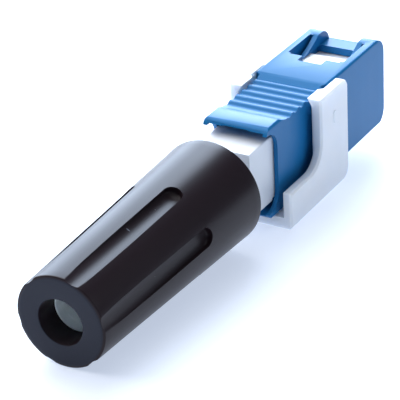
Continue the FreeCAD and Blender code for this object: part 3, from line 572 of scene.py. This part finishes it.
def collet_lip():
    """Thin rear lip of the collet, which shows in the nut's hole."""
    profile = corner(COLLET_LIP_REAR, COLLET_LIP_R, COLLET_LIP_ROUND, 0, 0, -COLLET_LIP_ROUND)
    profile += corner(COLLET_LIP_REAR, COLLET_LIP_HOLE_R,
                      0, COLLET_LIP_HOLE_ROUND, COLLET_LIP_HOLE_ROUND, 0)
    profile += [(COLLET_LIP_FRONT, COLLET_LIP_HOLE_R), (COLLET_LIP_FRONT, COLLET_LIP_R)]
    work = lathe(profile, COLLET_LIP_STEPS)
    mesh = bpy.data.meshes.new("collet_lip")
    shade_smooth(work, COLLET_LIP_SHARP)
    write_mesh(work, mesh, COLLET)
    obj = link(bpy.data.objects.new("collet_lip", mesh))
    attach(obj, nodes["cable_clamp"]["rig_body"])


def stud_thread():
    """Helical ridge on the stud, one millimetre a turn, in the gap under the nut's thread."""
    work = bmesh.new()
    rings = []
    last = THREAD_TURNS * THREAD_STEPS
    for i in range(last + 1):
        turn = 2 * math.pi * i / THREAD_STEPS
        fade = min(1, i / THREAD_FADE_STEPS, (last - i) / THREAD_FADE_STEPS)
        x = THREAD_FRONT - i / THREAD_STEPS
        section = [(x + dx, THREAD_ROOT_R + (r - THREAD_ROOT_R) * fade) for dx, r in THREAD_SECTION]
        rings.append([work.verts.new(round_axis(along, r, turn)) for along, r in section])
    for first, second in zip(rings, rings[1:]):
        for j in range(len(first)):
            k = (j + 1) % len(first)
            work.faces.new((first[j], first[k], second[k], second[j]))
    work.faces.new(rings[0])
    work.faces.new(list(reversed(rings[-1])))
    bmesh.ops.recalc_face_normals(work, faces=work.faces)
    mesh = bpy.data.meshes.new("stud_thread")
    shade_smooth(work, THREAD_SHARP)
    write_mesh(work, mesh, BODY_WHITE)
    obj = link(bpy.data.objects.new("stud_thread", mesh))
    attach(obj, "connector")


for node, name, material, width, slot, reshape in (
        ("outer_housing", "housing_shell", BLUE, 0.09, "housing_blue", level_lip),
        ("plug_frame", "inner_frame", BODY_WHITE, 0.06, "body_white", None),
        ("main_body", "body_shell", BODY_WHITE, 0.1, "body_white", None),
        ("wedge_clip", "clip_shell", CLIP_WHITE, 0.09, "clip_white", None),
        ("cable_clamp", "collet", COLLET, 0.04, "collet_pale", None)):
    softened(node, name, material, width, reshape=reshape)
tail_nut()
collet_lip()
stud_thread()

# The hidden pieces keep their CAD shapes and get a better material
for node, material in (
        ("fibre_guide", SPLICE),
        ("ferrule", CERAMIC),
        ("ferrule_flange", STEEL),
        ("ferrule_spring", STEEL),
        ("fibre_stub", GLASS),
        ("splice_base", SPLICE),
        ("splice_lid_front", SPLICE),
        ("splice_lid_rear", SPLICE),
        ("splice_clamp_front", STEEL),
        ("splice_clamp_rear", STEEL)):
    data = nodes[node].data
    data.materials.clear()
    data.materials.append(material)


# Floor, light and camera

def floor():
    """Pale plane that touches the clip's rear foot and the nut's rear rim."""
    clip_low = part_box("wedge_clip")[0]
    foot = Vector((clip_low.x, 0, clip_low.z))
    rim = Vector((NUT_REAR * MM, 0, AXIS_LEVEL - NUT_REAR_R * MM))
    slope = math.atan2(rim.z - foot.z, foot.x - rim.x)
    bpy.ops.mesh.primitive_plane_add(size=FLOOR_SIZE)
    plane = bpy.context.object
    plane.name = "floor"
    plane.location = foot
    plane.rotation_euler = (0, slope, 0)
    material, tree, shader = new_material("floor white")
    cloud = noise(tree, scale=6, detail=3)
    tint = mix_colour(tree, cloud, (0.50, 0.515, 0.54), (0.485, 0.50, 0.53))
    tree.links.new(tint, shader.inputs["Base Color"])
    shader.inputs["Roughness"].default_value = 0.6
    shader.inputs["Emission Color"].default_value = FLOOR_GLOW
    shader.inputs["Emission Strength"].default_value = 1.0
    plane.data.materials.append(material)


def camera():
    """Camera where the photograph was taken from: behind, to the right and above."""
    azimuth = math.radians(CAMERA_AZIMUTH)
    elevation = math.radians(CAMERA_ELEVATION)
    roll = math.radians(CAMERA_ROLL)
    forward = Vector((math.cos(azimuth) * math.cos(elevation),
                      math.sin(azimuth) * math.cos(elevation),
                      -math.sin(elevation)))
    right = forward.cross(Vector((0, 0, 1))).normalized()
    up = right.cross(forward)
    side = right * math.cos(roll) + up * math.sin(roll)
    top = up * math.cos(roll) - right * math.sin(roll)
    place = [v * MM for v in CAMERA_PLACE]
    data = bpy.data.cameras.new("camera")
    data.sensor_width = CAMERA_SENSOR
    data.lens = CAMERA_LENS
    data.clip_start, data.clip_end = CAMERA_REACH
    obj = link(bpy.data.objects.new("camera", data))
    obj.matrix_world = Matrix((
        (side.x, top.x, -forward.x, place[0]),
        (side.y, top.y, -forward.y, place[1]),
        (side.z, top.z, -forward.z, place[2]),
        (0, 0, 0, 1)))
    bpy.context.scene.camera = obj


def area_light(name, place, size, power, colour):
    """Soft light aimed at the object."""
    data = bpy.data.lights.new(name, "AREA")
    data.shape = "RECTANGLE"
    data.size, data.size_y = size
    data.energy = power
    data.color = colour
    obj = link(bpy.data.objects.new(name, data))
    obj.location = place
    aim = Vector(LIGHT_TARGET) - Vector(place)
    obj.rotation_euler = aim.to_track_quat("-Z", "Y").to_euler()
    obj.visible_camera = False


def surroundings():
    """Even pale light from all round, and the soft boxes of a small studio."""
    world = bpy.data.worlds.new("studio")
    bpy.context.scene.world = world
    world.use_nodes = True
    back = world.node_tree.nodes["Background"]
    back.inputs["Color"].default_value = WORLD_COLOUR
    back.inputs["Strength"].default_value = WORLD_STRENGTH
    for light in LIGHTS:
        area_light(*light)
    bpy.context.scene.view_settings.view_transform = "Standard"


floor()
camera()
surroundings()
